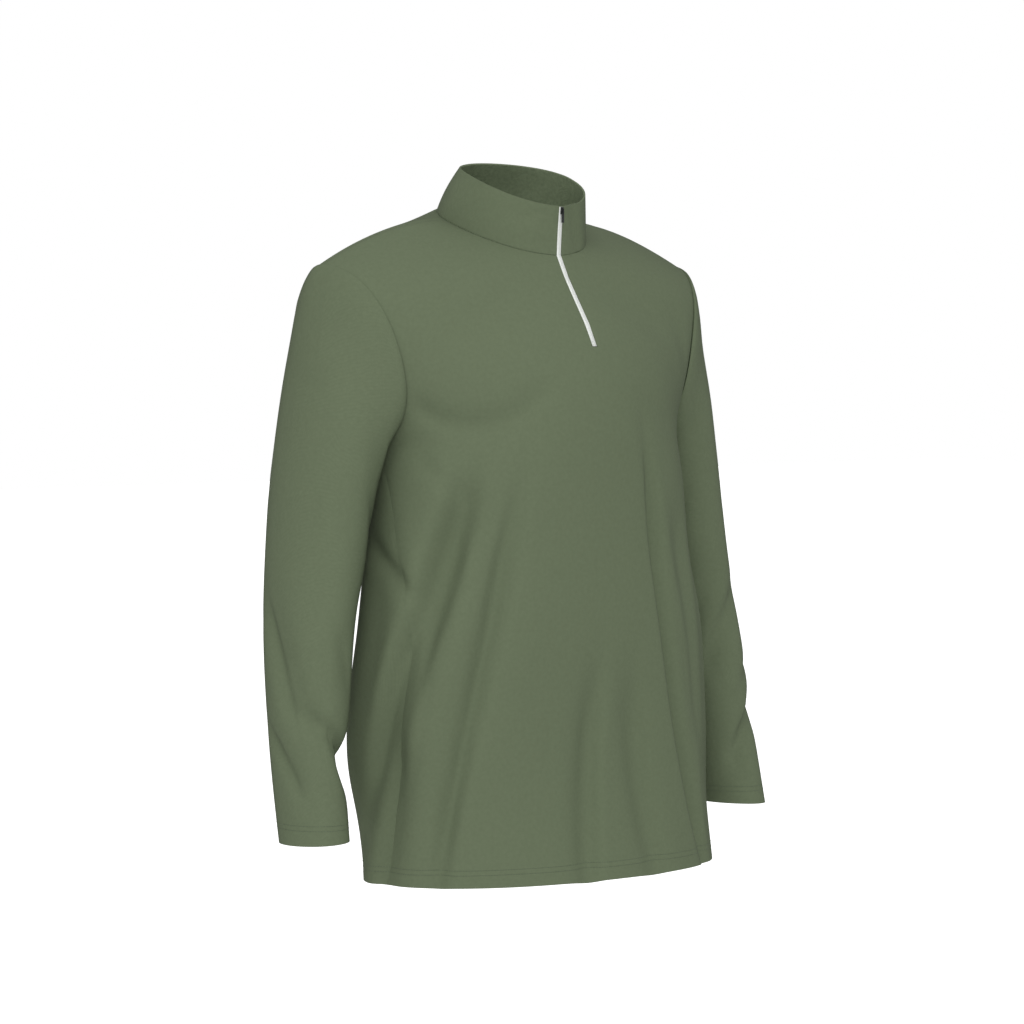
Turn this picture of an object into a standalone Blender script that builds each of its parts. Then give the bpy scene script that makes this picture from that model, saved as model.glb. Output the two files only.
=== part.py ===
"""Long-sleeved sports top with a stand collar and a quarter zip, worn but with no wearer.

Metres, +Z up, the front faces -Y and the wearer's left is +X. The origin is where the wearer
holds the top up: the middle of the neck, level with the shoulder seams' neck ends.
Every panel is a grid of points read between its own seam lines. The seam lines are shared, so
that neighbours meet at the same points, and each edge then draws back by half a seam gap.
"""

import math

import bmesh
import bpy
import numpy as np
from mathutils import Matrix, Vector

# ---------------------------------------------------------------- driving dimensions, metres
MM = 0.001
CLOTH = 1.5 * MM           # one layer of the jersey
COLLAR_CLOTH = 2.0 * MM    # two layers and their interlining
SEAM_GAP = 0.3 * MM
ARMPIT_EASE = 1.2 * MM     # how much further the sleeve stands off under the arm
HEM_HEIGHT = -700 * MM
ARMPIT_HEIGHT = -245 * MM
ZIP_END = -145 * MM        # the foot of the zip's slit
SLIT = 6.4 * MM            # width between the two cloth edges of the zip
TAPE = 1.2 * MM            # thickness of the zip's tape with its coil
TAPE_SUNK = 0.3 * MM       # how far the tape's face lies under the cloth's face
SLEEVE_TURN = 5 * MM       # the sleeve's first ring, which leaves the armhole smoothly
ARMHOLE_REACH = 150 * MM   # how far down the sleeve the armhole's own shape fades out
SLEEVE_RADIUS = 55 * MM    # turns a fold's degrees round the sleeve into a distance
NECK_WIDTH = 80 * MM       # half width of the neck seam
NECK_DEPTH = 81.5 * MM     # half depth of the neck seam
NECK_BACK = 20 * MM        # how far the neck seam's middle lies behind the origin
SHOULDER_ANGLE = 100       # degrees round the neck, from the front, to the shoulder seam
TOP_WIDTH = 67 * MM        # half width of the collar's top edge
TOP_DEPTH = 64 * MM
TOP_BACK = -2 * MM
CORNER_ANGLE = 52          # degrees either side of the nape to the collar's blunt back corners
CORNER_SPREAD = 17
CORNER_REACH = 0.06        # how much further the top edge stands out there

# The zip's closed slider and its pull.
SLIDER_DROP = 4.6 * MM     # from the collar's top edge down to the slider's middle
SLIDER_GAP = 0.1 * MM      # the slider's back stands this far off the cloth's face
SLIDER_WIDE = 3.4 * MM
SLIDER_THICK = 1.5 * MM
SLIDER_LONG = 7.6 * MM
BRIDGE_WIDE = 1.0 * MM
BRIDGE_TALL = 2.1 * MM
BRIDGE_LONG = 4.4 * MM
BRIDGE_FOOT = 0.6 * MM     # how far the bridge is sunk into the slider's body
EYE_TALL = 1.4 * MM        # the bridge's eye, which the pull's bar lies in
EYE_LONG = 2.6 * MM
BAR = 0.8 * MM             # thickness of the pull and of its bar
PULL_WIDE = 3.2 * MM
PULL_LONG = 13.0 * MM
WINDOW_WIDE = 1.7 * MM
WINDOW_LONG = 2.9 * MM

# ---------------------------------------------------------------- how finely things are cut
COLUMNS = 17               # from a panel's centre line to its side
TORSO_ROWS = 17            # hem to armpit
CHEST_ROWS = 8             # armpit to the neck, on the centre line
ROWS_TO_ZIP = 4            # armpit to the foot of the zip
NECK_ROWS = 7              # along the neckline, to the shoulder seam
SLEEVE_ROWS = 24
COLLAR_ROWS = 5

# ---------------------------------------------------------------- tables, millimetres
# Torso sections below the armpit.
TORSO = np.array([
    # height, front_y, back_y, seam_x, seam_y
    (-700, -152, 82, 217, -40),
    (-640, -137, 116, 212, -44),
    (-570, -128, 142, 210, -49),
    (-490, -129, 142, 205, -51),
    (-440, -131, 138, 199, -53),
    (-400, -132, 135, 194, -47),
    (-350, -133, 131, 190, -30),
    (-300, -135, 134, 186, -14),
    (-245, -138, 138, 184, 12),
])

# The centre lines above the armpit, up to the neck seam.
CENTRE_FRONT = np.array([
    # height, y
    (-245, -138),
    (-200, -136.5),
    (-172, -131),
    (-145, -122),
    (-115, -105),
    (-88, -85),
    (-67, -71),
    (-49, -61.5),
])
CENTRE_BACK = np.array([
    # height, y
    (-245, 138),
    (-190, 142),
    (-135, 141),
    (-80, 133),
    (-35, 118),
    (6, 101.5),
])

# The armhole, from the armpit to the shoulder point, along the front and along the back.
ARMHOLE_FRONT = np.array([
    # x, y, z
    (184, 12, -245),
    (183, -13, -239),
    (183, -32, -220),
    (186, -43, -195),
    (192, -46, -167),
    (201, -42, -133),
    (211, -33, -104),
    (221, -16, -80),
    (230, 6, -65.5),
    (235.5, 26, -61),
    (237, 38, -60.5),
])
ARMHOLE_BACK = np.array([
    # x, y, z
    (184, 12, -245),
    (186, 38, -238),
    (188, 62, -218),
    (192, 81, -190),
    (198, 92, -158),
    (206, 95, -127),
    (216, 88, -98),
    (227, 70, -74),
    (235, 50, -61.5),
    (237, 38, -60.5),
])

# How a panel's rows run from their inner end to their outer end. up is 0 at the hem, 1 at the
# armpit and 2 at the shoulder seam. pulls are shares of the row's straight length. dip turns
# the row's start down the panel, and turn swings its outer end round the body.
ROW_SHAPE = np.array([
    # up, inner_pull, outer_pull, dip, front_turn, back_turn, outer_rise
    (0.0, 0.58, 0.24, 0, 78, 102, 0.0),
    (0.5, 0.56, 0.26, 0, 78, 102, 0.0),
    (0.8, 0.56, 0.27, 0, 82, 98, 0.0),
    (1.0, 0.56, 0.28, 0, 88, 92, -0.1),
    (1.07, 0.56, 0.21, 0, 84, 88, -0.1),
    (1.14, 0.55, 0.16, 0, 77, 82, -0.07),
    (1.25, 0.52, 0.16, 0, 66, 71, -0.02),
    (1.4, 0.42, 0.19, 10, 54, 57, 0.03),
    (1.53, 0.26, 0.26, 42, 42, 44, 0.12),
    (1.7, 0.26, 0.33, 34, 26, 26, 0.24),
    (1.85, 0.30, 0.33, 16, 10, 10, 0.42),
    (2.0, 0.33, 0.33, 0, 0, 0, 0.60),
])
SHOULDER_FALL = 0.02       # slope of the shoulder seam as it leaves the neck

# Sleeve rings: the ring's outer and inner points, its middle and its half depth.
SLEEVE = np.array([
    # along, outer_x, outer_z, inner_x, inner_z, middle_y, half_depth
    (0, 237, -60.5, 184, -245, 24, 71),
    (10, 243.5, -66.5, 191, -252, 26, 71),
    (28, 249, -80, 194, -265, 29, 71),
    (55, 252, -105, 195, -282, 33, 70),
    (95, 258, -143, 194, -304, 37, 69),
    (155, 268, -203, 194, -330, 39, 68),
    (225, 280, -276, 198, -358, 39, 66),
    (300, 290, -356, 207, -393, 36, 62),
    (375, 301, -434, 220, -440, 28, 56),
    (450, 309, -508, 232, -508, 15, 49.5),
    (525, 313, -581, 244, -580, 2, 44),
    (595, 316, -653, 251, -650, -14, 40),
])

# Folds of the body's panels, seen from outside: across is the distance from the centre line
# along the cloth, towards the wearer's left, and height is z.
FRONT_FOLDS = np.array([
    # start_across, start_height, end_across, end_height, bow, half_width, depth
    (-150, -280, -256, -590, 4, 16, 13.0),
    (-118, -335, -212, -690, 0, 13, 8.0),
    (-94, -335, -148, -570, 2, 13, 3.5),
    (-8, -500, -38, -732, 2, 14, 8.0),
    (46, -505, 68, -715, 0, 20, 6.0),
    (85, -300, 164, -690, 12, 14, 6.0),
    (196, -360, 204, -650, 0, 36, 7.0),
    (166, -112, 196, -165, 4, 12, 3.0),
    (-176, -228, -72, -214, -8, 20, 5.0),
    (60, -212, 150, -232, -6, 22, 3.0),
])
BACK_FOLDS = np.array([
    # start_across, start_height, end_across, end_height, bow, half_width, depth
    (-218, -300, -205, -400, 4, 14, 7.0),
    (-105, -290, -150, -560, 6, 15, 9.0),
    (-50, -390, -80, -680, 6, 16, 8.0),
    (12, -430, 0, -660, -4, 18, 6.0),
    (85, -350, 122, -650, -8, 15, 9.0),
    (150, -300, 192, -560, -8, 15, 8.0),
])

# Folds of a sleeve: around is degrees from its outer line towards the front, and along is the
# distance down the sleeve.
SLEEVE_FOLDS_RIGHT = np.array([
    # start_around, start_along, end_around, end_along, half_width, depth
    (-8, 360, 48, 475, 13, 7.5),
    (45, 468, 122, 506, 13, 9.0),
    (108, 515, 178, 519, 17, 17.0),
    (-12, 488, 45, 537, 11, 4.5),
    (88, 380, 108, 435, 10, 3.0),
    (-60, 400, -150, 470, 13, 4.0),
    (150, 330, 190, 420, 13, 3.5),
    (110, 150, 160, 260, 14, 3.0),
    (-110, 150, -160, 250, 14, 3.0),
])
SLEEVE_FOLDS_LEFT = np.array([
    # start_around, start_along, end_around, end_along, half_width, depth
    (60, 360, 130, 450, 14, 5.0),
    (25, 476, 118, 545, 13, 8.5),
    (-50, 385, -140, 470, 12, 4.0),
    (145, 300, 185, 390, 13, 3.0),
    (115, 140, 165, 245, 14, 3.0),
    (-105, 160, -155, 270, 13, 3.0),
])


# ---------------------------------------------------------------- curves
def spline(knots, values, at):
    """A natural cubic curve through the values at the knots, read at each place in at."""
    knots = np.asarray(knots, float)
    values = np.asarray(values, float)
    at = np.asarray(at, float)
    count = len(knots)
    step = np.diff(knots)
    matrix = np.eye(count)
    right = np.zeros_like(values)
    slopes = (values[1:] - values[:-1]) / step.reshape((-1,) + (1,) * (values.ndim - 1))
    for i in range(1, count - 1):
        matrix[i, i - 1:i + 2] = (step[i - 1], 2 * (step[i - 1] + step[i]), step[i])
        right[i] = 6 * (slopes[i] - slopes[i - 1])
    bend = np.linalg.solve(matrix, right)
    i = np.clip(np.searchsorted(knots, at) - 1, 0, count - 2)
    spread = (-1,) + (1,) * (values.ndim - 1)
    width = step[i].reshape(spread)
    before = (knots[i + 1] - at).reshape(spread)
    after = (at - knots[i]).reshape(spread)
    curve = bend[i] * before**3 + bend[i + 1] * after**3
    curve = curve / (6 * width)
    curve += (values[i] / width - bend[i] * width / 6) * before
    curve += (values[i + 1] / width - bend[i + 1] * width / 6) * after
    return curve


def lengths(points):
    """Distance along a line of points, from its first."""
    steps = np.linalg.norm(np.diff(points, axis=0), axis=1)
    return np.concatenate([[0.0], np.cumsum(steps)])


def evenly(points, shares):
    """Points at these shares of the length of the smooth curve through the given points."""
    knots = lengths(points)
    fine = spline(knots, points, np.linspace(0, knots[-1], 200))
    along = lengths(fine)
    wanted = np.asarray(shares) * along[-1]
    return np.stack([np.interp(wanted, along, fine[:, k]) for k in range(3)], axis=1)


def unit(vector):
    vector = np.asarray(vector, float)
    return vector / np.linalg.norm(vector)


# ---------------------------------------------------------------- seam lines
def neck_seam(degrees):
    """A point of the neck seam. 0 degrees is the centre front and 180 the centre back."""
    turn = math.radians(degrees)
    height = -18.6 - 27.7 * math.cos(turn) - 3.1 * math.cos(2 * turn)
    x = NECK_WIDTH * math.sin(turn)
    y = NECK_BACK - NECK_DEPTH * math.cos(turn)
    return np.array([x, y, height * MM])


def collar_top(degrees):
    """A point of the collar's top edge, which rises from the throat to the nape."""
    turn = math.radians(degrees)
    height = 29.0 - 24.0 * math.cos(turn) - 3.0 * math.cos(2 * turn)
    from_corner = (abs(degrees - 180) - CORNER_ANGLE) / CORNER_SPREAD
    reach = 1 + CORNER_REACH * math.exp(-from_corner**2)
    x = TOP_WIDTH * math.sin(turn) * reach
    y = TOP_BACK - TOP_DEPTH * math.cos(turn) * reach
    return np.array([x, y, height * MM])


def slit_angle():
    """Degrees round the neck to the zip's edge."""
    return math.degrees(math.asin(SLIT / 2 / NECK_WIDTH))


def neck_angles(start):
    """Degrees of the neckline's points, with a short last step next to the shoulder seam."""
    even = np.linspace(start, SHOULDER_ANGLE, NECK_ROWS + 1)
    even[-2] = SHOULDER_ANGLE - math.copysign(4, SHOULDER_ANGLE - start)
    even[1:-1] = np.linspace(start, even[-2], NECK_ROWS)[1:]
    return even


def inner_line(front):
    """The panel's inner edge: the centre line to the neck, then the neckline to the shoulder."""
    heights = np.linspace(HEM_HEIGHT, ARMPIT_HEIGHT, TORSO_ROWS + 1)
    side = TORSO[:, 1] if front else TORSO[:, 2]
    depth = spline(TORSO[:, 0] * MM, side * MM, heights)
    line = [np.array([0.0, y, z]) for y, z in zip(depth, heights)]
    centre = CENTRE_FRONT if front else CENTRE_BACK
    if front:
        below = np.linspace(ARMPIT_HEIGHT, ZIP_END, ROWS_TO_ZIP + 1)[1:]
        above = np.linspace(ZIP_END, centre[-1, 0] * MM, CHEST_ROWS - ROWS_TO_ZIP + 1)[1:]
        heights = np.concatenate([below, above])
    else:
        heights = np.linspace(ARMPIT_HEIGHT, centre[-1, 0] * MM, CHEST_ROWS + 1)[1:]
    depth = spline(centre[:, 0] * MM, centre[:, 1] * MM, heights)
    for y, z in zip(depth, heights):
        in_slit = front and z > ZIP_END + 1 * MM
        line.append(np.array([SLIT / 2 if in_slit else 0.0, y, z]))
    start = slit_angle() if front else 180
    line[-1] = neck_seam(start)
    for angle in neck_angles(start)[1:]:
        line.append(neck_seam(angle))
    return np.array(line)


def outer_line(front):
    """The panel's outer edge: the side seam to the armpit, then the armhole."""
    heights = np.linspace(HEM_HEIGHT, ARMPIT_HEIGHT, TORSO_ROWS + 1)
    seam = spline(TORSO[:, 0] * MM, TORSO[:, 3:5] * MM, heights)
    side = np.column_stack([seam, heights])
    armhole = ARMHOLE_FRONT if front else ARMHOLE_BACK
    shares = np.linspace(0, 0.975, CHEST_ROWS + NECK_ROWS)[1:]
    shares = np.append(shares, 1.0)
    return np.concatenate([side, evenly(armhole * MM, shares)])


# ---------------------------------------------------------------- panels
def half_panel(front):
    """Grid of points, rows by columns, of the wearer's left half of the front or the back."""
    inner = inner_line(front)
    outer = outer_line(front)
    neck_row = TORSO_ROWS + CHEST_ROWS
    falls = np.gradient(inner[:neck_row + 1], axis=0) * np.array([0.0, -1.0, -1.0])
    forward = -1 if front else 1
    up = np.concatenate([
        np.linspace(0, 1, TORSO_ROWS + 1),
        np.linspace(1, 1.985, CHEST_ROWS + NECK_ROWS)[1:],
        [2.0],
    ])
    beside_neck = up.copy()
    climb = inner[TORSO_ROWS:neck_row + 1, 2] - ARMPIT_HEIGHT
    beside_neck[TORSO_ROWS:neck_row + 1] = 1 + climb / climb[-1] * (up[neck_row] - 1)
    shape = spline(ROW_SHAPE[:, 0], ROW_SHAPE[:, 1:], up)
    shape[:, (0, 2)] = spline(ROW_SHAPE[:, 0], ROW_SHAPE[:, (1, 3)], beside_neck)
    t = np.linspace(0, 1, 60)[:, None]
    rows = []
    for k, place in enumerate(up):
        inner_pull, outer_pull, dip, front_turn, back_turn, rise = shape[k]
        turn = math.radians(front_turn if front else back_turn)
        span = np.linalg.norm(outer[k] - inner[k])
        slope = SHOULDER_FALL * max(0.0, (place - 1.5) * 2)
        sideways = np.array([1.0, 0.0, -slope])
        dip = math.radians(dip)
        fall = unit(falls[min(k, neck_row)])
        leave = unit(math.cos(dip) * sideways + math.sin(dip) * fall)
        arrive = unit((-math.cos(turn), forward * math.sin(turn), rise))
        first = inner[k] + inner_pull * span * leave
        second = outer[k] + outer_pull * span * arrive
        row = (1 - t) ** 3 * inner[k] + 3 * (1 - t) ** 2 * t * first
        row = row + 3 * (1 - t) * t**2 * second + t**3 * outer[k]
        along = lengths(row)
        wanted = np.linspace(0, along[-1], COLUMNS + 1)
        rows.append(np.stack([np.interp(wanted, along, row[:, i]) for i in range(3)], axis=1))
    return np.array(rows)


def outward(grid, towards):
    """Unit normals of a grid of points, on the side of the given directions."""
    across = np.gradient(grid, axis=1)
    upward = np.gradient(grid, axis=0)
    normal = np.cross(across, upward)
    normal /= np.maximum(np.linalg.norm(normal, axis=2, keepdims=True), 1e-12)
    flip = np.sign((normal * towards).sum(axis=2, keepdims=True))
    return normal * np.where(flip == 0, 1, flip)


def fold_depth(across, along, fold):
    """How far one soft trough presses in at each point of a sheet, all in metres."""
    start_a, start_b, end_a, end_b, bow, half_width, depth = fold
    run = np.array([end_a - start_a, end_b - start_b])
    size = np.hypot(*run)
    ahead = run / size
    offset = np.stack([across - start_a, along - start_b], axis=-1)
    share = offset @ ahead / size
    beside = offset @ np.array([-ahead[1], ahead[0]]) - bow * np.sin(np.pi * np.clip(share, 0, 1))
    ends = 1 / (1 + np.exp(-12 * (share - 0.04))) / (1 + np.exp(12 * (share - 0.96)))
    return depth * np.exp(-(beside / half_width) ** 2) * ends


def edge_ease(grid, reach=22 * MM):
    """0 on the outer edge and the top of a half panel, and 1 from this far in."""
    from_side = lengths_from_end(grid, axis=1)
    from_top = lengths_from_end(grid, axis=0)
    near = np.minimum(from_side, from_top) / reach
    near = np.clip(near, 0, 1)
    return near * near * (3 - 2 * near)


def lengths_from_end(grid, axis):
    """Distance of each point from the grid's last row or column, along the grid."""
    steps = np.linalg.norm(np.diff(grid, axis=axis), axis=2)
    back = np.flip(np.cumsum(np.flip(steps, axis=axis), axis=axis), axis=axis)
    last = np.zeros_like(np.take(back, [0], axis=axis))
    return np.concatenate([back, last], axis=axis)


def folded_panel(front, side):
    """One half of a panel with its folds. side is 1 on the wearer's left and -1 on the right."""
    grid = half_panel(front)
    steps = np.linalg.norm(np.diff(grid, axis=1), axis=2)
    across = np.concatenate([grid[:, :1, 0], grid[:, :1, 0] + np.cumsum(steps, axis=1)], axis=1)
    folds = FRONT_FOLDS if front else BACK_FOLDS
    pressed = np.zeros(grid.shape[:2])
    for fold in folds * MM:
        pressed += fold_depth(side * across, grid[:, :, 2], fold)
    pressed *= edge_ease(grid)
    away = grid * np.array([1.0, 1.0, 0.0]) + np.array([0.0, 0.0, 0.02])
    normals = outward(grid, away)
    normals[:, 0, 0] = 0.0
    return grid - normals * pressed[:, :, None]


def straighten(one, other, seam):
    """Moves the points on each side of a seam so that the cloth runs straight across it."""
    across = other - one
    across /= np.linalg.norm(across, axis=-1, keepdims=True)
    near = np.linalg.norm(seam - one, axis=-1, keepdims=True)
    far = np.linalg.norm(seam - other, axis=-1, keepdims=True)
    return seam - across * near, seam + across * far


def body_halves(side):
    """The front and back half panels of one side, with folds and with smooth seams."""
    front = folded_panel(True, side)
    back = folded_panel(False, side)
    torso = slice(0, TORSO_ROWS)
    front[torso, -2], back[torso, -2] = straighten(front[torso, -2], back[torso, -2], front[torso, -1])
    front[-2], back[-2] = straighten(front[-2], back[-2], front[-1])
    return front, back


def draw_back(edge, inside, amount):
    """Edge points moved towards the points inside them."""
    way = inside - edge
    return edge + way / np.linalg.norm(way, axis=-1, keepdims=True) * amount


def cut_edges(grid):
    """Draws a half panel's seam edges back by half a seam gap."""
    neck_row = TORSO_ROWS + CHEST_ROWS
    grid = grid.copy()
    half = SEAM_GAP / 2
    grid[:, -1] = draw_back(grid[:, -1], grid[:, -2], half)
    grid[-1] = draw_back(grid[-1], grid[-2], half)
    grid[neck_row, 0] = draw_back(grid[neck_row, 0], grid[neck_row - 1, 0], half)
    neck = slice(neck_row + 1, None)
    grid[neck, 0] = draw_back(grid[neck, 0], grid[neck, 1], half)
    return grid


# ---------------------------------------------------------------- meshes
def material(name, colour, roughness, metallic=0.0):
    made = bpy.data.materials.new(name)
    made.use_nodes = True
    shader = made.node_tree.nodes["Principled BSDF"]
    shader.inputs["Base Color"].default_value = (*colour, 1.0)
    shader.inputs["Roughness"].default_value = roughness
    shader.inputs["Metallic"].default_value = metallic
    made.diffuse_color = (*colour, 1.0)
    return made


def add_object(name, mesh, collection, surface):
    made = bpy.data.objects.new(name, mesh)
    made.data.materials.append(surface)
    collection.objects.link(made)
    return made


def loft(name, grids, closed=False):
    """A mesh of quads over one or more grids of points. closed joins the last column to the first."""
    work = bmesh.new()
    for grid in grids:
        rows, columns = grid.shape[:2]
        points = [[work.verts.new(grid[r, c]) for c in range(columns)] for r in range(rows)]
        for r in range(rows - 1):
            for c in range(columns if closed else columns - 1):
                d = (c + 1) % columns
                work.faces.new((points[r][c], points[r][d], points[r + 1][d], points[r + 1][c]))
    bmesh.ops.remove_doubles(work, verts=work.verts, dist=0.01 * MM)
    for face in work.faces:
        face.smooth = True
    mesh = bpy.data.meshes.new(name)
    work.to_mesh(mesh)
    work.free()
    return mesh


def thicken(target, thickness):
    """Gives a sheet its thickness, all of it on the inside."""
    solid = target.modifiers.new("thickness", "SOLIDIFY")
    solid.thickness = thickness
    solid.offset = -1.0
    solid.use_even_offset = False
    solid.use_rim = True


def mirrored(grid):
    """The wearer's right half from the left half's grid, with its columns turned round."""
    return (grid * np.array([-1.0, 1.0, 1.0]))[:, ::-1]


def open_slit(grid):
    """Adds the slit's square foot: the row at the zip's end again, with its first point aside."""
    foot = TORSO_ROWS + ROWS_TO_ZIP
    grid = np.insert(grid, foot + 1, grid[foot], axis=0)
    grid[foot + 1, 0] += np.array([SLIT / 2, 0.0, 0.4 * MM])
    return grid


def build_body(name, front, collection, surface):
    """The front or the back, one piece from side seam to side seam."""
    which = 0 if front else 1
    left = cut_edges(body_halves(1)[which])
    right = cut_edges(body_halves(-1)[which])
    if front:
        left = open_slit(left)
        right = open_slit(right)
    grids = [mirrored(right), left]
    if not front:
        grids = [grid[:, ::-1] for grid in grids]
    body = add_object(name, loft(name, grids), collection, surface)
    thicken(body, CLOTH)
    return body


def armhole_loop(front, back):
    """An armhole's points: shoulder point, down the front panel, and up the back panel."""
    return np.concatenate([front[:TORSO_ROWS - 1:-1, -1], back[TORSO_ROWS + 1:-1, -1]])


def first_step(front, back, angles):
    """Unit directions in which the sleeve leaves the armhole, ring point by ring point."""
    ahead = [panel[:, -1:] - panel[:, -2:-1] for panel in (front, back)]
    panel = armhole_loop(*ahead)
    panel /= np.linalg.norm(panel, axis=1, keepdims=True)
    high = np.clip(np.cos(angles) * 2.2 - 0.4, 0, 1)[:, None]
    low = np.clip(-np.cos(angles), 0, 1)[:, None]
    outward_way = np.array([0.93, 0.0, -0.37]) + low * np.array([-0.1, 0.0, -0.3])
    way = high * panel + (1 - high) * outward_way
    return way / np.linalg.norm(way, axis=1, keepdims=True)


def sleeve_ring(ring, angles):
    """One plain ring of a sleeve. 0 degrees is its outer line and 90 its front."""
    outer_x, outer_z, inner_x, inner_z, middle_y, half_depth = ring
    outer = np.array([outer_x, middle_y, outer_z])
    inner = np.array([inner_x, middle_y, inner_z])
    middle = (outer + inner) / 2
    sideways = np.outer(np.cos(angles), (outer - inner) / 2)
    return middle + sideways + np.outer(np.sin(angles), np.array([0.0, -half_depth, 0.0]))


def sleeve_pressed(folds, angles, along):
    """How far a sleeve's folds press in, ring by ring and point by point."""
    pressed = np.zeros((len(along), len(angles)))
    for fold in folds:
        start_around, start_along, end_around, end_along, half_width, depth = fold
        start = math.radians(start_around)
        end = math.radians(end_around)
        middle = (start + end) / 2
        around = (angles - middle + math.pi) % (2 * math.pi) - math.pi + middle
        across, down = np.meshgrid(around * SLEEVE_RADIUS, along)
        row = (start * SLEEVE_RADIUS, start_along * MM, end * SLEEVE_RADIUS, end_along * MM,
               0.0, half_width * MM, depth * MM)
        pressed += fold_depth(across, down, row)
    return pressed


def sleeve_grid(side):
    """Rings of a sleeve, from the armhole to the cuff, as if on the wearer's left."""
    folds = SLEEVE_FOLDS_LEFT if side > 0 else SLEEVE_FOLDS_RIGHT
    front, back = body_halves(side)
    loop = armhole_loop(front, back)
    angles = np.linspace(0, 2 * np.pi, len(loop), endpoint=False)
    length = SLEEVE[-1, 0] * MM
    along = np.concatenate([[0.0], np.linspace(SLEEVE_TURN, length, SLEEVE_ROWS)])
    rings = spline(SLEEVE[:, 0] * MM, SLEEVE[:, 1:] * MM, along)
    armhole_shape = loop - sleeve_ring(rings[0], angles)
    grid = []
    for ring, distance in zip(rings, along):
        fade = max(0.0, 1 - distance / ARMHOLE_REACH)
        fade = fade * fade * (3 - 2 * fade)
        grid.append(sleeve_ring(ring, angles) + fade * armhole_shape)
    grid = np.array(grid)
    closed = np.concatenate([grid[:, -1:], grid, grid[:, :1]], axis=1)
    away = closed - grid.mean(axis=1, keepdims=True)
    normals = outward(closed, away)[:, 1:-1]
    ease = np.clip(along / (8 * SLEEVE_TURN), 0, 1)[:, None]
    pressed = sleeve_pressed(folds, angles, along) * ease
    grid = grid - normals * pressed[:, :, None]
    grid[1] = loop + first_step(front, back, angles) * SLEEVE_TURN
    under_arm = np.clip(-np.cos(angles), 0, 1)[:, None]
    grid[0] = draw_back(grid[0], grid[1], SEAM_GAP / 2 + under_arm * ARMPIT_EASE)
    return grid


def build_sleeve(name, side, collection, surface):
    grid = sleeve_grid(side)[:, ::-1]
    if side < 0:
        grid = (grid * np.array([-1.0, 1.0, 1.0]))[:, ::-1]
    sleeve = add_object(name, loft(name, [grid], closed=True), collection, surface)
    thicken(sleeve, CLOTH)
    return sleeve


def collar_half(side):
    """The neck seam's points on one side and their degrees round the neck."""
    front, back = body_halves(side)
    neck_row = TORSO_ROWS + CHEST_ROWS
    angles = np.concatenate([neck_angles(slit_angle()), neck_angles(180)[-2::-1]])
    points = np.concatenate([front[neck_row:, 0], back[-2:neck_row - 1:-1, 0]])
    return angles, points * np.array([side, 1.0, 1.0])


def collar_grid():
    """Rows of the collar from the neck seam up to its top edge."""
    left_angles, left = collar_half(1)
    right_angles, right = collar_half(-1)
    base = np.concatenate([left, right[-2::-1]])
    angles = np.concatenate([left_angles, 360 - right_angles[-2::-1]])
    top = np.array([collar_top(angle) for angle in angles])
    grid = []
    for share in np.linspace(0, 1, COLLAR_ROWS + 1):
        bulge = -0.12 - 0.04 * np.cos(np.radians(angles))
        lean = share + bulge * math.sin(math.pi * share)
        row = base + (top - base) * np.column_stack([lean, lean, np.full(len(lean), share)])
        row[0, 0] = SLIT / 2
        row[-1, 0] = -SLIT / 2
        grid.append(row)
    grid = np.array(grid)
    grid[0] = draw_back(grid[0], grid[1], SEAM_GAP / 2)
    return grid


def build_collar(collection, surface):
    grid = collar_grid()
    collar = add_object("collar", loft("collar", [grid]), collection, surface)
    thicken(collar, COLLAR_CLOTH)
    return collar


def zip_line():
    """Points up the middle of the zip, from its foot to the collar's top edge."""
    panel = half_panel(True)
    neck_row = TORSO_ROWS + CHEST_ROWS
    chest = panel[TORSO_ROWS + ROWS_TO_ZIP:neck_row, 0]
    collar = collar_grid()[:, 0]
    line = np.concatenate([chest, collar])
    line[:, 0] = 0.0
    return line


def build_zip_tape(collection, surface):
    """The closed tape and coil, a band lying between the slit's two edges."""
    line = zip_line()
    line[0] += unit(line[1] - line[0]) * 3 * SEAM_GAP
    line[-1] += unit(line[-2] - line[-1]) * 3 * SEAM_GAP
    ahead = np.gradient(line, axis=0)
    inward = np.stack([np.zeros(len(line)), ahead[:, 2], -ahead[:, 1]], axis=1)
    inward /= np.linalg.norm(inward, axis=1, keepdims=True)
    line = line + inward * TAPE_SUNK
    half = SLIT / 2 - SEAM_GAP
    shares = np.array([-1.0, -0.35, 0.35, 1.0])
    grid = line[:, None, :] + shares[None, :, None] * np.array([half, 0.0, 0.0])
    tape = add_object("zip_tape", loft("zip_tape", [grid]), collection, surface)
    thicken(tape, TAPE)
    return tape


def zip_place():
    """The frame of the closed slider: its middle on the cloth's face, Z up the zip, -Y outward."""
    line = zip_line()
    top = Vector(line[-1])
    up = (top - Vector(line[-2])).normalized()
    inward = up.cross(Vector((1.0, 0.0, 0.0)))
    turn = Matrix((Vector((1.0, 0.0, 0.0)), inward, up)).transposed()
    return Matrix.Translation(top - up * SLIDER_DROP) @ turn.to_4x4()


def box(name, size, middle, collection, surface=None):
    """A box of this size whose middle is at this place in its object's own frame."""
    work = bmesh.new()
    bmesh.ops.create_cube(work, size=1.0)
    bmesh.ops.scale(work, vec=size, verts=work.verts)
    bmesh.ops.translate(work, vec=middle, verts=work.verts)
    mesh = bpy.data.meshes.new(name)
    work.to_mesh(mesh)
    work.free()
    made = bpy.data.objects.new(name, mesh)
    if surface:
        mesh.materials.append(surface)
    collection.objects.link(made)
    return made


def combine(target, other, operation):
    """Joins another box to the target or cuts it away."""
    step = target.modifiers.new(other.name, "BOOLEAN")
    step.object = other
    step.operation = operation
    other.hide_render = True
    other.display_type = "WIRE"


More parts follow.
